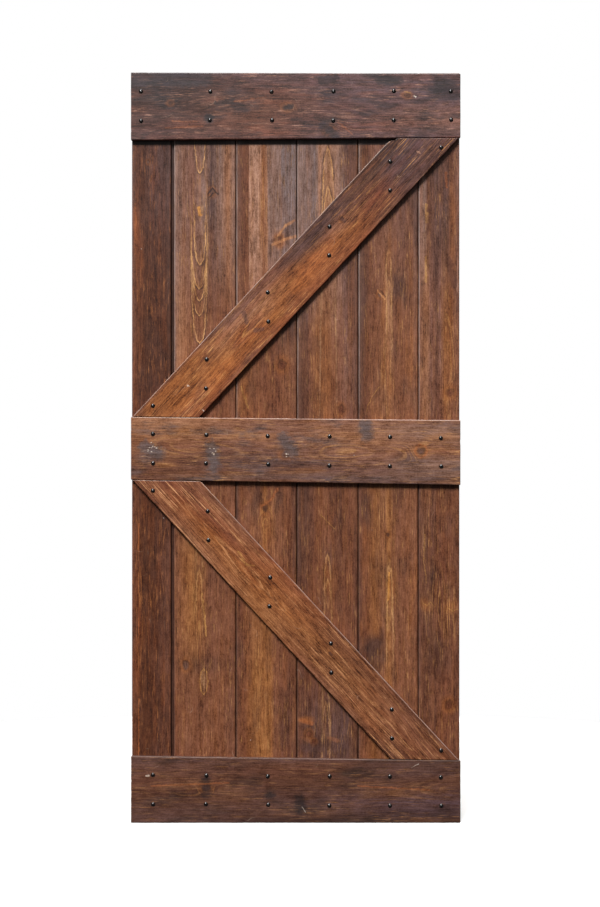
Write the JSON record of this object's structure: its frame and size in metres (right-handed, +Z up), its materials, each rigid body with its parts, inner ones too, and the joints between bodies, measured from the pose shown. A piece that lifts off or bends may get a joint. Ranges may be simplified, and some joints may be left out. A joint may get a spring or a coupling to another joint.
{
  "type": "sliding barn door",
  "caption": "Stained plank door slab with three rails and two diagonal braces in a K, made to hang from a sliding track.",
  "frame": {"origin": "middle of the door's lower edge, halfway through its depth", "axes": "+Z up along the boards, -Y out of the front where the rails and braces are, +X to the right seen from the front"},
  "size_m": [0.937, 0.0413, 2.134],
  "materials": {
    "boards": "stained knotty pine, satin, worn",
    "rails": "stained knotty pine, satin, darker and scuffed",
    "braces": "stained pine, satin, warm orange brown",
    "screws": "black coated steel, satin"
  },
  "bodies": {
    "root": {"board_1": "boards", "board_2": "boards", "board_3": "boards", "board_4": "boards", "board_5": "boards", "board_6": "boards", "top_rail": "rails", "middle_rail": "rails", "bottom_rail": "rails", "upper_brace": "braces", "lower_brace": "braces", "top_rail_screws": "screws", "middle_rail_screws": "screws", "bottom_rail_screws": "screws", "upper_brace_screws": "screws", "lower_brace_screws": "screws"}
  },
  "joints": []
}
